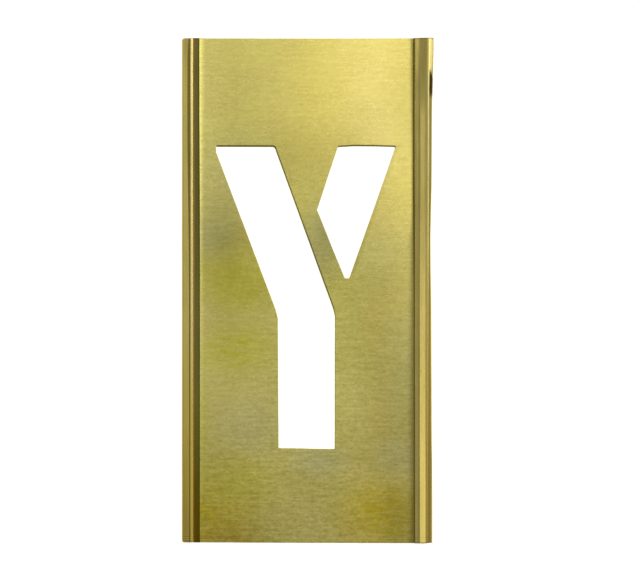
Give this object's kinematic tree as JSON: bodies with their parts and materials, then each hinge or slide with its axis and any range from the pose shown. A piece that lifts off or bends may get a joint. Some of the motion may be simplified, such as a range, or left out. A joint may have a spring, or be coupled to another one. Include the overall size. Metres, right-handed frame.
{
  "type": "lettering stencil",
  "caption": "Flat brass lettering stencil for one capital Y, with a hooked lock rail along each long side that slides onto the neighbouring plate.",
  "frame": {"origin": "middle of the plate's width and height, on its back face", "axes": "+Z out of the front of the plate, +Y towards the top of the letter, -X towards the letter's left side"},
  "size_m": [0.0634, 0.1272, 0.0014],
  "materials": {
    "panel_brass": "satin, brushed across the plate",
    "rail_brass": "polished lengthwise by folding and sliding"
  },
  "bodies": {
    "root": {"letter_plate": "panel_brass", "left_lock_rail": "rail_brass", "right_lock_rail": "rail_brass"}
  },
  "joints": []
}
